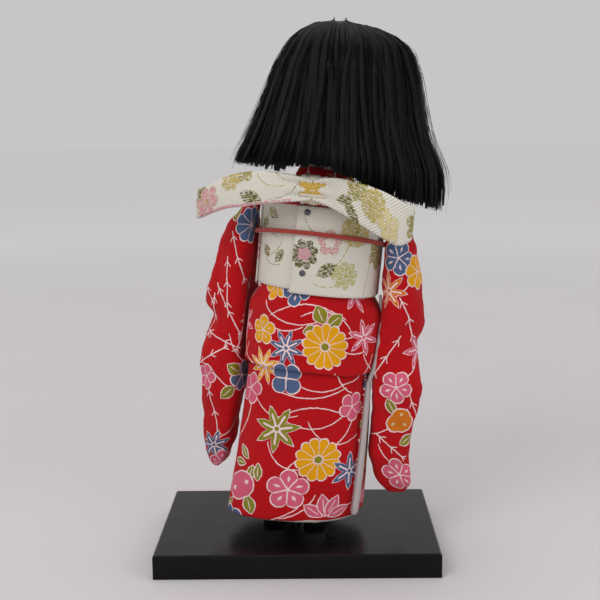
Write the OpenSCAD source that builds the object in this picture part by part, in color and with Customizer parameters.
// A girl doll in a long-sleeved kimono, standing on a lacquered board.
// The origin is the middle of the board's underside. +Z is up, and the doll faces -Y.
// The doll stands turned and leaning a little on its post. Heights of the doll's
// pieces are measured from the top of the board, along the leaning doll.

/* [Board] */
// Length of the board, side to side
base_w = 150; // [120:1:200]
// Depth of the board, front to back
base_d = 100; // [80:1:140]
// Thickness of the board
base_h = 13; // [10:0.5:20]
// Bevel round the board's top edge
base_bevel = 0.8; // [0.4:0.1:2]
// Diameter of the post that holds the doll up
post_d = 5; // [4:0.2:6]
// Height of the post above the board
post_h = 92; // [80:1:105]

/* [Stance] */
// Turn of the doll on its post, in degrees
figure_turn = -12; // [-30:1:30]
// Lean of the doll towards its right, in degrees
figure_lean = 5.5; // [0:0.5:6]
// Place of the post to the left of the board's middle
stand_x = 1; // [-10:1:10]

/* [Body] */
// Height of the hem above the board
hem_gap = 9.5; // [8:0.5:12]
// Height of the skirt, from the hem to the waist fold
skirt_h = 83; // [75:1:95]
// Height of the waist fold that hangs below the sash
fold_h = 42; // [38:1:50]
// Width of the padded body at the hem
hip_w = 66; // [62:1:74]
// Depth of the padded body at the hem
hip_d = 52; // [48:1:58]
// Width of the padded body at the sash
waist_w = 59; // [55:1:66]
// Depth of the padded body at the sash
waist_d = 46; // [42:1:52]
// Thickness of the padding round the torso
padding_t = 7; // [5:0.5:9]

/* [Clothes] */
// Thickness of the printed cloth with its lining
cloth_t = 1; // [0.8:0.1:1.3]
// Thickness of the white robe under the kimono
robe_t = 0.8; // [0.6:0.1:1.2]
// Clearance between one layer and the next
layer_gap = 0.25; // [0.2:0.05:0.4]
// Height of the sash
obi_h = 44; // [38:1:50]
// Thickness of one turn of the sash
obi_t = 1.1; // [0.8:0.1:1.5]
// Diameter of the red cord round the sash
cord_d = 2.4; // [1.6:0.2:3]
// Diameter of the crepe piping at the hem
hem_pipe_d = 2.4; // [1.8:0.2:3]
// Diameter of the crepe piping where it leaves the sash
pipe_d = 2.2; // [1.6:0.2:2.6]
// Diameter of the crepe piping at the foot of the front edge
pipe_foot_d = 4.6; // [3:0.2:5]
// Diameter of a pin's head
pin_d = 3.2; // [2:0.2:4]

/* [Bow] */
// Width of the band round the middle of the bow
knot_w = 12; // [9:1:16]
// Height of the band round the middle of the bow
knot_h = 15; // [12:1:18]
// Depth of the band round the middle of the bow
knot_d = 11; // [9:1:13]
// Reach of the bow's left wing from the middle
wing_left = 62; // [50:1:66]
// Reach of the bow's right wing from the middle
wing_right = 50; // [42:1:60]

/* [Arms] */
// Diameter of the shoulder pin
shoulder_pin_d = 3; // [2.4:0.2:3.6]
// Diameter of the padded upper arm
arm_d = 10; // [8:0.5:11]
// Reach of the sleeve, out from the side of the body
sleeve_reach = 25; // [22:1:30]
// Height of the sleeve's foot above the board
sleeve_foot = 25; // [20:1:40]
// Space between the sleeve and the body beside it
sleeve_gap = 1.2; // [1:0.1:3]

/* [Head] */
// Width of the head
head_w = 56; // [50:1:62]
// Depth of the head
head_d = 60; // [54:1:64]
// Height of the head, chin to crown
head_h = 64; // [58:1:70]
// Diameter of the neck
neck_d = 18; // [16:1:20]
// Diameter of the peg that the head turns on
neck_peg_d = 8; // [6:0.5:10]
// Diameter of a glass eye
eye_d = 7; // [6:0.5:8]
// Width of the hair at its hem
hair_w = 116; // [108:1:124]
// Depth of the hair at its hem
hair_d = 94; // [88:1:100]
// Thickness of the hair at its hem
hair_t = 13; // [8:1:16]

/* [Hidden] */
$fn = 48;

run_gap = 0.06;    // radial clearance of a peg that turns in its bore
glue_gap = 0.02;   // radial clearance of a peg that is glued in
turn_steps = 40;   // facets round a layer of clothing
square_n = 2.3;    // 2 is an ellipse, and more is squarer

// Heights above the board
fold_z = hem_gap + skirt_h;
obi_z = fold_z + fold_h;
obi_top = obi_z + obi_h;
shoulder_z = obi_top + 3.5;
neck_z = shoulder_z + 4;
collar_z = neck_z + 11;
chin_z = neck_z + 14;
crown_z = chin_z + head_h;
hair_top = crown_z + 9;
leg_top = 60;
skirt_top = obi_z - 8;
tuck_z = obi_z + 3.5;

// Offsets of each layer's inner face from the padded body
robe_off = layer_gap;
skirt_off = robe_off + robe_t + layer_gap;
panel_off = skirt_off + cloth_t + layer_gap;
fold_off = panel_off + cloth_t + layer_gap;
bodice_off = layer_gap;
obi_off = bodice_off + cloth_t + layer_gap;
obi_outer_off = obi_off + obi_t + layer_gap;
obi_face = obi_outer_off + obi_t;
fold_t = 2 * cloth_t;
fold_puff = 2.6;      // swell of the waist fold behind the doll's right side
edge_top = 168;       // where the front panel's edge starts, in degrees from the doll's left
edge_foot = 151;      // where that edge meets the hem
obi_edge_turn = 78;   // where the sash's outer end lies
pipe_gap = 0.3;       // clearance under the piping

// The side of the body at the sash, with the cord on it, and where a sleeve may begin
side_x = waist_w / 2 + obi_face + cord_d;
sleeve_x = side_x + sleeve_gap;
back_y = waist_d / 2 + obi_face;

// ---------- Placing ----------

module standing() {
    translate([stand_x, 0, base_h]) rotate([0, 0, figure_turn]) children();
}

module leaning() {
    translate([stand_x, 0, base_h]) rotate([0, -figure_lean, 0])
        rotate([0, 0, figure_turn]) children();
}

module on_side(side) {
    if (side > 0) children();
    else mirror([1, 0, 0]) children();
}

// ---------- Skins ----------

function clamp(t) = max(0, min(1, t));
function ease(t) = let (c = clamp(t)) c * c * (3 - 2 * c);
function mix(a, b, t) = a + (b - a) * t;
function back_to_front(list) = [for (i = [len(list) - 1:-1:0]) list[i]];
function join(lists) = [for (l = lists) each l];

// A closed solid through a list of rings that hold equally many points. It runs round
// into its first ring if round is true. If not, its ends are closed from the first half
// of a ring's points to the second half, which suits bent sections too.
module skin(rings, round = false) {
    n = len(rings[0]);
    m = len(rings);
    sides = join([
        for (i = [0:(round ? m : m - 1) - 1])
            let (a = i * n, b = ((i + 1) % m) * n)
            join([
                for (k = [0:n - 1])
                    let (l = (k + 1) % n)
                    [[a + k, b + k, b + l], [a + k, b + l, a + l]]
            ])
    ]);
    ends = round ? [] : [
        for (k = [0:n / 2 - 2], end = [0, m - 1])
            let (
                at = end * n,
                a = at + k,
                b = at + k + 1,
                c = at + n - 2 - k,
                d = at + n - 1 - k
            )
            each end == 0 ? [[a, b, c], [a, c, d]] : [[a, c, b], [a, d, c]]
    ];
    polyhedron(points = join(rings), faces = concat(sides, ends));
}

function power(c) = sign(c) * pow(abs(c), 2 / square_n);

// A point of an oval with these half sizes, at a turn from the doll's left
function oval(half, turn) = [half.x * power(cos(turn)), half.y * power(sin(turn))];

function at_height(p, z) = [p.x, p.y, z];

// Half width and half depth of the padded body at a height
function body_half(z) =
    let (
        down = ease((z - hem_gap) / (obi_z - hem_gap)),
        up = clamp((z - obi_top) / (neck_z + 3 - obi_top)),
        neck = neck_d / 2 + 2
    )
    z <= obi_top
        ? [mix(hip_w, waist_w, down) / 2, mix(hip_d, waist_d, down) / 2]
        : [mix(waist_w / 2, neck, pow(up, 1.8)), mix(waist_d / 2, neck, pow(up, 1.1))];

function layer_point(z, off, turn) =
    at_height(oval(body_half(z) + [off, off], turn), z);

// Height, along the leaning doll, of a plane that is level with the board
function level(p, height) =
    let (across = p.x * cos(figure_turn) - p.y * sin(figure_turn))
    (height - across * sin(figure_lean)) / cos(figure_lean);

// A layer's point between a level hem and a top edge
function hanging_point(hem, top, t, off, turn) =
    let (
        p = oval(body_half(mix(hem, top, t)) + [off, off], turn),
        low = level(p, hem)
    )
    at_height(p, mix(low, top, t));

function hanging_section(hem, top, off, t, turns) = concat(
    [for (k = [0:5]) hanging_point(hem, top, k / 5, off + t, turns[k])],
    [for (k = [5:-1:0]) hanging_point(hem, top, k / 5, off, turns[k])]
);

// A turn of cloth that hangs from top to a level hem, all the way round
module hanging_layer(hem, top, off, t) {
    skin([
        for (i = [0:turn_steps - 1])
            hanging_section(hem, top, off, t, [for (k = [0:5]) 360 * i / turn_steps])
    ], round = true);
}

// The same, from an edge that runs slantwise to the front of the doll's left side
module hanging_panel(hem, top, off, t) {
    steps = round(turn_steps * (360 - edge_top) / 360);
    skin([
        for (i = [0:steps])
            hanging_section(hem, top, off, t,
                [for (k = [0:5]) mix(mix(edge_foot, edge_top, k / 5), 360, i / steps)])
    ]);
}

// A turn of cloth between two heights
module band_layer(low, top, off, t, from = 0, to = 360, steps_up = 2) {
    whole = to - from >= 360;
    steps = round(turn_steps * (to - from) / 360);
    heights = [for (i = [0:steps_up]) mix(low, top, i / steps_up)];
    skin([
        for (i = [0:whole ? steps - 1 : steps])
            let (turn = from + (to - from) * i / steps)
            concat(
                [for (z = heights) layer_point(z, off + t, turn)],
                [for (z = back_to_front(heights)) layer_point(z, off, turn)]
            )
    ], round = whole);
}

// A round tube along a route, with a radius for each point
module tube(route, radii, sides = 8) {
    last = len(route) - 1;
    skin([
        for (i = [0:last])
            let (
                along = route[min(i + 1, last)] - route[max(i - 1, 0)],
                t = along / norm(along),
                side = cross(t, [1, 0.15, 0.1]),
                a = side / norm(side),
                b = cross(t, a)
            )
            [
                for (k = [0:sides - 1])
                    let (turn = -360 * k / sides)
                    route[i] + radii[i] * (a * cos(turn) + b * sin(turn))
            ]
    ]);
}

// ---------- Board and post ----------

post_seat = base_h - 4;   // depth of the hole that the post is glued into

module base_board() {
    color("#161617") difference() {
        hull() {
            translate([-base_w / 2, -base_d / 2, 0])
                cube([base_w, base_d, base_h - base_bevel]);
            translate([base_bevel - base_w / 2, base_bevel - base_d / 2, 0])
                cube([base_w - 2 * base_bevel, base_d - 2 * base_bevel, base_h]);
        }
        translate([stand_x, 0, base_h - post_seat])
            cylinder(h = post_seat + 1, d = post_d + 2 * glue_gap);
    }
}

module support_post() {
    color("#8a8d90") translate([stand_x, 0, base_h - post_seat])
        cylinder(h = post_seat + post_h, d = post_d);
}

// ---------- Feet and legs ----------

foot_x = 11.5;
foot_w = 12;
foot_l = 34;
foot_h = 8;
foot_y = -5;      // middle of the foot, forward of the post
sandal_h = 3;
rest_gap = 0.3;   // the doll turns on its post just clear of the board
leg_d = 10;
leg_spread = 2.5; // the legs stand wider apart at the torso, clear of the post

module sole(length, width, height) {
    hull() for (end = [-1, 1])
        translate([0, end * (length - width) / 2, 0])
            cylinder(h = height, d = width * (end < 0 ? 1 : 0.86), $fn = 32);
}

module sandal(side) {
    color("#161617") standing() translate([side * foot_x, foot_y, rest_gap])
        sole(foot_l + 2, foot_w + 1.4, sandal_h);
}

module foot(side) {
    color("#ece8e1") standing()
        translate([side * foot_x, foot_y, rest_gap + sandal_h]) difference() {
            hull() {
                sole(foot_l, foot_w, 2, $fn = 24);
                translate([0, foot_l / 2 - 7.5, 0]) cylinder(h = foot_h, d = leg_d, $fn = 24);
            }
            translate([0, foot_l / 2 - 8, foot_h - 3]) cylinder(h = 5, d = leg_d - 3);
        }
}

// A leg leaves its foot upright and meets the torso's sloping underside
module leg(side) {
    shank_y = foot_y + foot_l / 2 - 8;
    color("#e7d9c8") union() {
        hull() {
            standing() translate([side * foot_x, shank_y, rest_gap + sandal_h + foot_h])
                cylinder(h = 1, d = leg_d - 1, $fn = 24);
            leaning() translate([side * (foot_x + leg_spread), shank_y - 4, leg_top - 1 - rest_gap])
                cylinder(h = 1, d = leg_d, $fn = 24);
        }
        standing() translate([side * foot_x, shank_y, rest_gap + sandal_h + foot_h - 3])
            cylinder(h = 3.2, d = leg_d - 3 - 2 * glue_gap);
    }
}

// ---------- Torso and padding ----------

torso_top = neck_z - 1;

function torso_half(z) =
    let (b = body_half(min(z, obi_top)), up = ease((z - obi_top) / (torso_top - obi_top)))
    [mix(b.x - padding_t, neck_d / 2 + 5, up), mix(b.y - padding_t, neck_d / 2, up)];

shoulder_reach = torso_half(shoulder_z).x;

module torso_core() {
    heights = concat(
        [for (i = [0:4]) mix(leg_top, obi_top, i / 4)],
        [for (i = [1:3]) mix(obi_top, torso_top, i / 3)]
    );
    color("#caa77a") difference() {
        leaning() skin([
            for (z = heights)
                [for (i = [0:turn_steps - 1])
                    at_height(oval(torso_half(z), 360 * i / turn_steps), z)]
        ]);
        translate([stand_x, 0, base_h]) cylinder(h = post_h + 1, d = post_d + 2 * run_gap);
        leaning() {
            translate([0, 0, torso_top - peg_depth - 1])
                cylinder(h = peg_depth + 3, d = neck_peg_d + 2 * run_gap);
            for (side = [-1, 1])
                on_side(side) translate([shoulder_reach - pin_depth - 1, 0, shoulder_z])
                    rotate([0, 90, 0])
                        cylinder(h = pin_depth + 9, d = shoulder_pin_d + 2 * run_gap);
        }
    }
}

padding_low = 12;   // height of the padding's lower end above the hem

// The padding fills the clothes from just inside the hem to the top of the sash
module body_padding() {
    leg_room = [foot_x + leg_d / 2 + 6, leg_d / 2 + 6.5];
    low = hem_gap + padding_low;
    outer = [for (i = [0:6]) mix(low, obi_top, i / 6)];
    torso_part = back_to_front([for (i = [0:4]) mix(leg_top, obi_top, i / 4)]);
    color("#d9d3c4") leaning() skin([
        for (i = [0:turn_steps - 1])
            let (turn = 360 * i / turn_steps)
            concat(
                [for (z = outer) layer_point(z, 0, turn)],
                [for (z = torso_part)
                    at_height(oval(torso_half(z) + [layer_gap, layer_gap], turn), z)],
                [at_height(oval(leg_room, turn), leg_top - 3),
                    at_height(oval(leg_room, turn), low)]
            )
    ], round = true);
}

// ---------- Kimono below the sash ----------

module under_robe() {
    color("#e9e4dc") leaning()
        hanging_layer(hem_gap + 0.6, skirt_top, robe_off, robe_t);
}

module kimono_skirt() {
    color("#bf1420") leaning()
        hanging_layer(hem_gap + hem_pipe_d, skirt_top, skirt_off, cloth_t);
}

module front_panel() {
    color("#bf1420") leaning()
        hanging_panel(hem_gap + 1, skirt_top, panel_off, cloth_t);
}

// A flattened roll of white crepe under the skirt's edge
module hem_piping() {
    r = hem_pipe_d / 2 - 0.1;
    half = (panel_off - skirt_off) / 2 - 0.1;
    color("#ddd6cf") leaning() skin([
        for (i = [0:turn_steps - 1])
            let (
                turn = 360 * i / turn_steps,
                middle = (skirt_off + panel_off) / 2,
                rim = oval(body_half(hem_gap) + [middle, middle], turn),
                outward = rim / norm(rim)
            )
            [
                for (k = [0:7])
                    let (a = 45 * k - 90, p = rim + outward * half * cos(a))
                    at_height(p, level(rim, hem_gap) + r + r * sin(a))
            ]
    ], round = true);
}

// The waist fold hangs over the skirt and is tucked under the sash at its top
function fold_swell(z, turn) =
    let (
        up = clamp((z - fold_z) / (skirt_top - fold_z)),
        away = 1 - clamp(abs(turn - 150) / 34)
    )
    fold_puff * ease(away) * sin(180 * up);

function fold_inner(z) =
    mix(fold_off, bodice_off, ease((z - skirt_top - 1) / (obi_z - skirt_top - 2.5)));

function fold_thick(z, turn) =
    mix(fold_t + fold_swell(z, turn), cloth_t, ease((z - skirt_top + 4) / 9));

module waist_fold() {
    heights = concat(
        [for (i = [0:4]) mix(fold_z + 1, skirt_top, i / 4)],
        [for (i = [1:3]) mix(skirt_top, obi_z - 1.5, i / 3)],
        [tuck_z]
    );
    color("#bf1420") leaning() skin([
        for (i = [0:turn_steps - 1])
            let (turn = 360 * i / turn_steps)
            concat(
                [for (z = heights)
                    layer_point(z, fold_inner(z) + fold_thick(z, turn), turn)],
                [for (z = back_to_front(heights)) layer_point(z, fold_inner(z), turn)],
                [layer_point(fold_z, fold_off + fold_t / 2, turn)]
            )
    ], round = true);
}

// The crepe piping on the front panel's edge. It follows the waist fold's edge down, turns
// up in a loop where the fold is doubled, and runs down the panel to the hem. Each row is a
// height, a turn, how far it stands off the layer under it, and a share from its thin to
// its thick end.
pipe_rows = [
    [obi_z - 2, 170, 0, 0], [obi_z - 8, 174, 0, 0], [obi_z - 15, 178.5, 0, 0],
    [obi_z - 22, 180.5, 0, 0], [obi_z - 29, 179, 0, 0], [fold_z + 10, 176, 0, 0],
    [fold_z + 5.5, 173.5, 0, 0], [fold_z + 5, 170.5, 0.1, 0], [fold_z + 9, 169.3, 0.2, 0],
    [fold_z + 15, 171.5, 0.3, 0], [fold_z + 21, 172.8, 0.3, 0], [fold_z + 25, 171.5, 0.3, 0],
    [fold_z + 26.5, 169, 0.2, 0], [fold_z + 24, 166.8, 0, 0.05],
    [fold_z + 15, 165.5, 0, 0.1], [fold_z + 6, 165, 0, 0.15], [fold_z - 2, 164, 0, 0.22],
    [fold_z - 16, 162, 0, 0.35], [fold_z - 32, 159, 0, 0.55],
    [fold_z - 48, 156.5, 0, 0.75], [fold_z - 64, 154, 0, 0.95], [hem_gap + 7, 152.8, 0, 1]
];

function under_pipe(z, turn) =
    z > fold_z - 2.5 ? max(fold_inner(z) + fold_thick(z, turn), fold_off + fold_t)
                     : panel_off + cloth_t;

function pipe_radius(row) = mix(pipe_d, pipe_foot_d, row[3]) / 2;

function pipe_point(row) =
    let (off = under_pipe(row[0], row[1]) + pipe_radius(row) + pipe_gap + row[2])
    layer_point(row[0], off, row[1]);

module edge_piping() {
    color("#e6dedb") leaning()
        tube([for (r = pipe_rows) pipe_point(r)], [for (r = pipe_rows) pipe_radius(r)]);
}

// ---------- Kimono above the sash ----------

module bodice() {
    low = tuck_z + 0.5;
    top = neck_z + 2;
    heights = concat(
        [low, mix(low, obi_top, 0.5), obi_top],
        [for (i = [1:5]) mix(obi_top, top, i / 5)]
    );
    color("#bf1420") difference() {
        leaning() skin([
            for (i = [0:turn_steps - 1])
                let (turn = 360 * i / turn_steps)
                concat(
                    [for (z = heights) layer_point(z, bodice_off + cloth_t, turn)],
                    [for (z = back_to_front(heights)) layer_point(z, bodice_off, turn)]
                )
        ], round = true);
        leaning() for (side = [-1, 1])
            on_side(side) translate([neck_d / 2 + 6, 0, shoulder_z]) rotate([0, 90, 0])
                cylinder(h = waist_w / 2, d = shoulder_pin_d + 2);
    }
}

// A collar stands round the neck just above the bodice, high at the nape
module neck_band(inner, t, lift) {
    steps = 32;
    flare = 1;
    low = neck_z + 2.6;
    skin([
        for (i = [0:steps - 1])
            let (
                turn = 360 * i / steps,
                front = ease((-sin(turn) - 0.1) / 0.9),
                top = mix(collar_z, neck_z + 7, front) + lift,
                r = neck_d / 2 + inner,
                way = [cos(turn), sin(turn)]
            )
            [
                at_height((r + t + flare) * way, low),
                at_height((r + t) * way, top),
                at_height(r * way, top),
                at_height((r + flare) * way, low)
            ]
    ], round = true);
}

module under_collar() {
    color("#f3efe8") leaning() neck_band(1, 1, 0.8);
}

module collar() {
    color("#bf1420") leaning() neck_band(2.8, 1.4, 0);
}

// ---------- Sash ----------

pin_x = 2.9;
pin_spread = 31.5;
pin_low = obi_z + 9;
pin_shank_d = 0.9;

// Does something at the place of each pin in the back of the sash, with +Z inwards
module at_pins() {
    for (z = [pin_low, pin_low + pin_spread])
        translate([pin_x, back_y + 0.1, z]) rotate([90, 0, 0]) children();
}

module pin_holes() {
    at_pins() translate([0, 0, -1]) cylinder(h = 8, d = pin_shank_d + 2 * glue_gap, $fn = 16);
}

module obi_inner() {
    color("#d8cfae") leaning() difference() {
        band_layer(obi_z, obi_top, obi_off, obi_t);
        pin_holes();
    }
}

module obi_outer() {
    color("#e2dabb") leaning() difference() {
        band_layer(obi_z - 1.5, obi_top - 0.5, obi_outer_off, obi_t, obi_edge_turn, 372);
        pin_holes();
    }
}

module obi_scarf() {
    top = obi_top + 3.2;
    heights = [obi_top + 0.3, (obi_top + top) / 2, top];
    color("#c92531") difference() {
        leaning() skin([
            for (i = [0:turn_steps - 1])
                let (turn = 360 * i / turn_steps)
                concat(
                    [for (z = heights)
                        layer_point(z, obi_off + (z < top ? 1.6 : 0.8), turn)],
                    [for (z = back_to_front(heights)) layer_point(z, obi_off, turn)]
                )
        ], round = true);
        leaning() for (side = [-1, 1])
            on_side(side) translate([neck_d / 2 + 6, 0, shoulder_z]) rotate([0, 90, 0])
                cylinder(h = waist_w, d = shoulder_pin_d + 2);
    }
}

// The cord dips from the back of the sash towards both sides
function cord_z(turn) = obi_z + 0.58 * obi_h + 4.5 * sin(turn);

module obi_cord() {
    r = cord_d / 2;
    middle = obi_face + r + 0.15;
    color("#c4281f") leaning() skin([
        for (i = [0:turn_steps - 1])
            let (
                turn = 360 * i / turn_steps,
                rim = oval([waist_w / 2 + middle, waist_d / 2 + middle], turn),
                outward = rim / norm(rim)
            )
            [
                for (k = [0:7])
                    at_height(rim + outward * r * cos(45 * k), cord_z(turn) + r * sin(45 * k))
            ]
    ], round = true);
}

module obi_cord_knot() {
    r = 1.9 * cord_d;
    color("#c4281f") leaning()
        translate([0, -waist_d / 2 - obi_face - cord_d - 0.5, cord_z(270)])
            rotate([90, 0, 0]) linear_extrude(1.5 * cord_d, scale = 0.8)
                scale([1.3, 1]) circle(r = r, $fn = 24);
}

module obi_pins() {
    shank = obi_outer_off + obi_t - obi_off + 0.05;
    color("#77777c") leaning() at_pins() {
        translate([0, 0, -0.5]) cylinder(h = 0.5, d = pin_d);
        translate([0, 0, -1]) cylinder(h = 0.5, d1 = pin_d * 0.55, d2 = pin_d);
        translate([0, 0, -0.1]) cylinder(h = shank + 0.1, d = pin_shank_d, $fn = 16);
    }
}

// ---------- Bow ----------

knot_x = -1;
knot_z = obi_top + 8.5;
knot_wall = 1.2;
bow_y = back_y + 1.2;   // front face of the bow

module bow_knot() {
    corner = 2.5;
    color("#cdb86a") leaning() translate([knot_x - knot_w / 2, bow_y, knot_z - knot_h / 2])
        rotate([90, 0, 90]) linear_extrude(knot_w) difference() {
            offset(r = corner, $fn = 24) translate([corner, corner])
                square([knot_d - 2 * corner, knot_h - 2 * corner]);
            offset(r = corner - knot_wall, $fn = 24) translate([corner, corner])
                square([knot_d - 2 * corner, knot_h - 2 * corner]);
        }
}

// A wing is one strip, folded back on itself at its tip. A row is a share of the wing's
// reach, the distance of the strip's middle from the bow's front face, and the strip's
// lower and upper edge from the middle of the knot.
wing_rows_left = [
    [0.02, 8.2, -4.5, 4.5], [0.1, 9, -5.8, 6], [0.2, 10, -6.6, 6.6], [0.36, 10.2, -8.2, 6.8],
    [0.52, 9.4, -10.5, 6], [0.72, 7, -13, 2.5], [0.9, 3.5, -17.5, -3.5], [0.98, 0.6, -20, -6],
    [1, -1.6, -20.5, -6.5], [0.98, -3, -20, -6], [0.88, -2.4, -17, -3],
    [0.72, 0.6, -13, 1], [0.5, 3, -10, 5], [0.3, 3.8, -7, 6.4], [0.12, 3.4, -5.6, 5.6],
    [0.02, 2.8, -4.5, 4.5]
];
wing_rows_right = [
    [0.02, 8.2, -4.5, 4.5], [0.12, 8.9, -5.6, 6.2], [0.3, 11.5, -9, 6.8], [0.5, 12.4, -13.5, 5.2],
    [0.7, 11.5, -18.5, 2.5], [0.88, 8.6, -22.5, -1.5], [0.98, 5.6, -21, -4],
    [1, 3.4, -19.5, -4.6], [0.98, 2.2, -19, -4], [0.84, 2.2, -17, -1], [0.6, 3.2, -13, 2.5],
    [0.35, 3.8, -8.6, 5.6], [0.14, 3.4, -5.6, 5.6], [0.02, 2.8, -4.5, 4.5]
];
wing_t = 1.2;

function wing_point(row, reach, side) =
    [knot_x + side * (0.4 + row[0] * reach), bow_y + row[1]];

module bow_wing(rows, reach, side) {
    last = len(rows) - 1;
    color("#e2dabb") leaning() skin([
        for (i = [0:last])
            let (
                p = wing_point(rows[i], reach, side),
                along = wing_point(rows[min(i + 1, last)], reach, side)
                    - wing_point(rows[max(i - 1, 0)], reach, side),
                out = side * [along.y, -along.x] / norm(along) * wing_t / 2,
                low = knot_z + rows[i][2],
                top = knot_z + rows[i][3],
                loop = [
                    at_height(p - out, low), at_height(p - out, top),
                    at_height(p + out, top), at_height(p + out, low)
                ]
            )
            side > 0 ? back_to_front(loop) : loop
    ]);
}

// ---------- Arms and sleeves ----------

pin_depth = 12;
shoulder_end = sleeve_x + 3.8;

// The middle of the arm, inside its sleeve
shoulder = [sleeve_x + 3.4, 0, shoulder_z - 1.8];
upper_arm = [sleeve_x + 7.2, 1, shoulder_z - 12];
elbow = [sleeve_x + 14.6, 2.5, shoulder_z - 36];
wrist = [sleeve_x + 14.4, -22, shoulder_z - 58];
hand_tip = [sleeve_x + 11, -38, shoulder_z - 66];

module shoulder_pin(side) {
    color("#9a9a9e") leaning() on_side(side)
        translate([shoulder_reach - pin_depth, 0, shoulder_z]) rotate([0, 90, 0])
            cylinder(h = shoulder_end - shoulder_reach + pin_depth, d = shoulder_pin_d);
}

// One stretch of the padded arm, from one joint to the next
module limb(from, from_d, to, to_d) {
    hull() {
        translate(from) sphere(d = from_d, $fn = 20);
        translate(to) sphere(d = to_d, $fn = 20);
    }
}

module arm(side) {
    color("#d9d3c4") leaning() on_side(side) difference() {
        union() {
            limb(shoulder, 0.36 * arm_d, upper_arm, 0.46 * arm_d);
            limb(upper_arm, 0.46 * arm_d, elbow, 0.74 * arm_d);
            limb(elbow, 0.74 * arm_d, wrist, 0.6 * arm_d);
        }
        translate([sleeve_x, 0, shoulder_z]) rotate([0, 90, 0])
            cylinder(h = shoulder_end - sleeve_x + 0.1, d = shoulder_pin_d + 2 * glue_gap);
        translate(wrist) sphere(d = 0.8 * arm_d);
    }
}

module hand(side) {
    palm = mix(wrist, hand_tip, 0.55);
    color("#f4e3d6") leaning() on_side(side) difference() {
        union() {
            hull() {
                translate(mix(wrist, hand_tip, 0.12)) sphere(d = 5.6, $fn = 16);
                translate(palm) scale([0.7, 1, 1]) sphere(d = 9, $fn = 16);
            }
            hull() {
                translate(palm) scale([0.6, 1, 1]) sphere(d = 8.4, $fn = 16);
                translate(hand_tip) sphere(d = 3.6, $fn = 16);
            }
            hull() {
                translate(palm + [-1.5, 0.5, 2]) sphere(d = 3, $fn = 12);
                translate(palm + [-3, -5, 3.5]) sphere(d = 2.4, $fn = 12);
            }
        }
        translate(wrist) sphere(d = 0.6 * arm_d);
    }
}

// A sleeve is a long bag. A row is how far a ring lies below the shoulder, the points where
// the ring's middle line starts behind, is furthest out and ends in front, half the ring's
// thickness, and its slope towards the body. Places across are from the body's side.
bag_h = shoulder_z - sleeve_foot;
sleeve_rows = [
    [-4.5, [0.7, 6], [2.6, 0], [0.7, -6], 0.36 * arm_d, -1.2],
    [2, [1.4, 8], [6, 0], [2, -8], 0.56 * arm_d, -0.9],
    [12, [2.4, 9.5], [10.3, 1.5], [5, -11], 0.68 * arm_d, -0.35],
    [26, [2.4, 9.8], [13, 3], [8, -20], 0.64 * arm_d, 0],
    [42, [2.2, 10], [15.5, 3], [9.5, -30], 0.62 * arm_d, 0],
    [56, [2.2, 10], [sleeve_reach - 9, 1], [10, -36], 0.62 * arm_d, 0],
    [65, [2.2, 10], [sleeve_reach - 6, -1], [9.5, -37], 6, 0],
    [74, [2, 9.5], [sleeve_reach - 8, 1], [8, -34], 4.8, 0],
    [92, [2, 9], [sleeve_reach - 4, 3], [8, -27], 4.4, 0],
    [110, [2.5, 8], [sleeve_reach - 4, 3], [11, -22], 4.2, 0],
    [126, [3.5, 6], [sleeve_reach - 6, 1], [14, -18], 4.2, 0],
    [140, [5, 3], [sleeve_reach - 9, -1], [13, -15], 4.2, 0],
    [bag_h - 3, [6.5, 0], [sleeve_reach - 13, -3], [12, -12], 3.4, 0],
    [bag_h, [8, -2], [sleeve_reach - 16, -4], [11.5, -9], 1.6, 0]
];
sleeve_steps = 24;

// A curve that starts at a, passes b half way and ends at c, and its direction
function pull(a, b, c) = 2 * b - (a + c) / 2;
function bend(a, b, c, t) = a * pow(1 - t, 2) + 2 * pull(a, b, c) * t * (1 - t) + c * t * t;
function bend_slope(a, b, c, t) =
    2 * (pull(a, b, c) - a) * (1 - t) + 2 * (c - pull(a, b, c)) * t;

// A ring of the sleeve, drawn in by the cloth's thickness for its inner face
function sleeve_ring(row, inset) = [
    for (k = [0:sleeve_steps - 1])
        let (
            a = 360 * k / sleeve_steps,
            along = (1 - cos(a) * (1 - 0.12 * min(inset, 1))) / 2,
            spine = bend(row[1], row[2], row[3], along),
            way = bend_slope(row[1], row[2], row[3], along),
            side = [way.y, -way.x] / norm(way),
            p = [sleeve_x, 0] + spine + side * (max(row[4] - inset, 0.4) * power(sin(a)))
        )
        [max(p.x, sleeve_x + inset), p.y, shoulder_z - row[0] + row[5] * (p.x - sleeve_x)]
];

module sleeve(side) {
    last = len(sleeve_rows) - 1;
    color("#bf1420") leaning() on_side(side) difference() {
        skin(concat(
            [for (i = [last:-1:0]) sleeve_ring(sleeve_rows[i], 0)],
            [for (i = [0:last - 1]) sleeve_ring(sleeve_rows[i], cloth_t)]
        ));
        translate(wrist + [0, 2, -1]) rotate([118, 0, -12]) cylinder(h = 30, d = 17);
        translate([sleeve_x - 1, 0, shoulder_z]) rotate([0, 90, 0])
            cylinder(h = 4, d = shoulder_pin_d + 1);
    }
}

// ---------- Head ----------

peg_depth = 24;
head_mid = chin_z + head_h / 2;

// Half width, half depth and middle of the head, by share of its height
head_rows = [
    [0, 0.2, 0.2, -16], [0.05, 0.46, 0.44, -11], [0.14, 0.72, 0.68, -6.5],
    [0.26, 0.9, 0.84, -3.5], [0.42, 0.99, 0.95, -1.5], [0.6, 1, 1, 0],
    [0.76, 0.92, 0.94, 1], [0.89, 0.7, 0.73, 1.5], [0.97, 0.38, 0.42, 2], [1, 0.12, 0.13, 2]
];

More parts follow.
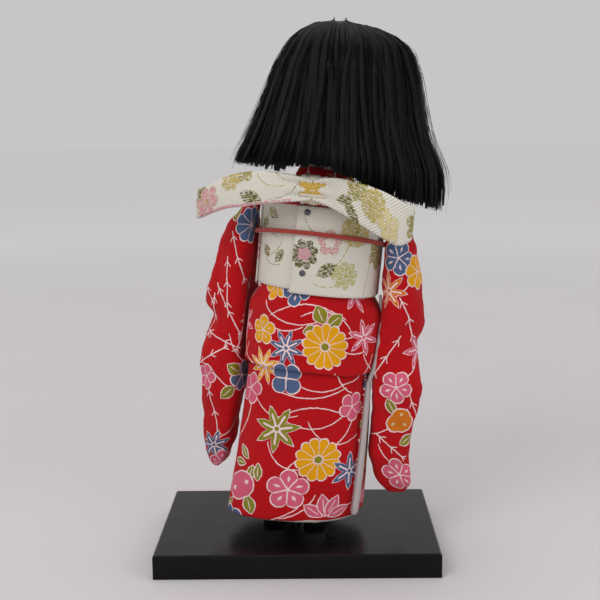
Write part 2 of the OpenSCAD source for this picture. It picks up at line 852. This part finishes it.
function head_part(share, k) = lookup(share, [for (r = head_rows) [r[0], r[k]]]);
function head_half(z) =
    let (share = clamp((z - chin_z) / head_h))
    [head_part(share, 1) * head_w / 2, head_part(share, 2) * head_d / 2];
function head_shift(z) = head_part(clamp((z - chin_z) / head_h), 3);

eye_x = 0.22 * head_w;
eye_z = chin_z + 0.4 * head_h;
eye_y = -head_half(eye_z).y + head_shift(eye_z) + eye_d * 0.45;

module head() {
    color("#f6ead9") leaning() difference() {
        union() {
            skin([
                for (r = head_rows)
                    let (z = chin_z + r[0] * head_h)
                    [for (i = [0:27])
                        let (turn = 360 * i / 28)
                        [head_half(z).x * cos(turn), r[3] + head_half(z).y * sin(turn), z]]
            ]);
            translate([0, 0, neck_z]) cylinder(h = 24, d = neck_d);
        }
        translate([0, 0, neck_z - 1])
            cylinder(h = peg_depth - 4, d = neck_peg_d + 2 * glue_gap);
        for (side = [-1, 1])
            translate([side * eye_x, eye_y, eye_z]) sphere(d = eye_d + 2 * glue_gap);
    }
}

module neck_peg() {
    color("#caa77a") leaning() translate([0, 0, torso_top - peg_depth])
        cylinder(h = 2 * peg_depth - 6, d = neck_peg_d);
}

module eye(side) {
    color("#1b1210") leaning() translate([side * eye_x, eye_y, eye_z]) sphere(d = eye_d);
}

// ---------- Hair ----------

cap_t = 1;
scalp_gap = 0.4;

// A point off the head's surface, further up where the head curves over
function off_head(z, turn, off) = [
    (head_half(z).x + off) * cos(turn),
    head_shift(z) + (head_half(z).y + off) * sin(turn),
    z + 0.6 * off
];

function head_row_z(r) = chin_z + r[0] * head_h;

module wig_cap() {
    rows = [for (r = head_rows) if (r[0] > 0.4) head_row_z(r)];
    color("#141416") leaning() skin([
        for (i = [0:31])
            let (
                turn = 360 * i / 32,
                low = chin_z + head_h * mix(0.3, 0.66, ease((0.2 - sin(turn)) / 1.2)),
                heights = concat([low], [for (k = [0:len(rows) - 1]) max(rows[k], low + k + 1)])
            )
            concat(
                [for (z = heights) off_head(z, turn, scalp_gap + cap_t)],
                [for (z = back_to_front(heights)) off_head(z, turn, scalp_gap)]
            )
    ], round = true);
}

// Outline of the hair: share of its height from hem to top, and shares of its half width
// on the doll's left and right
hair_low = chin_z - 12;
hair_rows = [
    [0, 0.94, 1], [0.22, 0.87, 1], [0.44, 0.79, 0.98], [0.6, 0.72, 0.92], [0.75, 0.62, 0.8],
    [0.86, 0.5, 0.64], [0.94, 0.34, 0.4], [0.98, 0.2, 0.2], [1, 0.05, 0.05]
];

function hair_share(z, k) =
    lookup((z - hair_low) / (hair_top - hair_low), [for (r = hair_rows) [r[0], r[k]]]);
function hair_half(z, turn) =
    let (left = hair_share(z, 1), right = hair_share(z, 2), depth = (left + right) / 2)
    [(cos(turn) > 0 ? left : right) * hair_w / 2, depth * hair_d / 2];

hair_shift = -4;   // the hair falls more to the doll's right
hair_y = 1;        // middle of the hair, behind that of the head
hair_gap = 2 * scalp_gap + cap_t + 0.4;

function lock_shift(z) = hair_shift * clamp((head_mid + 20 - z) / 50);
function scalp_half(z) =
    let (h = head_half(z))
    [h.x + hair_gap + abs(lock_shift(z)), h.y + hair_gap + abs(head_shift(z) - hair_y)];

// The hair lies on the cap above and hangs free below
function hair_inner(z, turn) =
    let (
        free = hair_half(z, turn) - [hair_t, hair_t],
        lift = ease((z - head_mid) / (0.3 * head_h)),
        close = scalp_half(z)
    )
    [max(mix(free.x, close.x, lift), close.x), max(mix(free.y, close.y, lift), close.y)];

function hair_outer(z, turn) =
    let (
        o = hair_half(z, turn),
        n = hair_inner(min(z, crown_z), turn),
        close = z > crown_z ? clamp((hair_top - z) / (hair_top - crown_z) + 0.1) : 1
    )
    [max(o.x, n.x + 1.5), max(o.y, n.y + 1.5)] * close;

// A block of hair between two turns. Its hem drops by a slope towards the doll's right.
module hair_lock(low, slope, from, to, steps) {
    top = hair_top - 0.8;
    rows = [for (r = head_rows) if (head_row_z(r) > low + 12) head_row_z(r)];
    color("#101012") leaning() skin([
        for (i = [0:steps])
            let (
                turn = from + (to - from) * i / steps,
                foot = low + slope * hair_w / 2 * cos(turn),
                last = len(rows) + 1,
                heights = [for (k = [0:last]) mix(foot, top, 1 - pow(1 - k / last, 1.6))],
                place = function(half, z)
                    [half.x * cos(turn) + lock_shift(z), hair_y + half.y * sin(turn), z]
            )
            concat(
                [for (z = heights) place(hair_outer(z, turn), z)],
                [place([0.4, 0.4], crown_z + 0.6 * hair_gap + 1.5)],
                [for (z = back_to_front(rows))
                    place(hair_inner(z, turn), z + 0.6 * hair_gap)],
                [place(hair_inner(foot, turn), foot)]
            )
    ]);
}

module hair_back() { hair_lock(knot_z + knot_h / 2 + 1.6, 0.05, 18, 162, 16); }
module hair_side_left() { hair_lock(hair_low, 0.12, -50, 17.5, 8); }
module hair_side_right() { hair_lock(hair_low, 0.12, 162.5, 230, 8); }
module hair_fringe() { hair_lock(chin_z + 0.55 * head_h, 0.03, 233, 307, 9); }

// ---------- Output ----------

base_board();
support_post();
foot(1);  // foot_left
foot(-1);  // foot_right
sandal(1);  // sandal_left
sandal(-1);  // sandal_right
leg(1);  // leg_left
leg(-1);  // leg_right
torso_core();
body_padding();
under_robe();
kimono_skirt();
front_panel();
hem_piping();
edge_piping();
waist_fold();
bodice();
under_collar();
collar();
obi_inner();
obi_outer();
obi_scarf();
obi_cord();
obi_cord_knot();
obi_pins();
bow_knot();
bow_wing(wing_rows_left, wing_left, 1);  // bow_wing_left
bow_wing(wing_rows_right, wing_right, -1);  // bow_wing_right
shoulder_pin(1);  // shoulder_pin_left
arm(1);  // arm_left
hand(1);  // hand_left
sleeve(1);  // sleeve_left
shoulder_pin(-1);  // shoulder_pin_right
arm(-1);  // arm_right
hand(-1);  // hand_right
sleeve(-1);  // sleeve_right
neck_peg();
head();
eye(1);  // eye_left
eye(-1);  // eye_right
wig_cap();
hair_back();
hair_side_left();
hair_side_right();
hair_fringe();
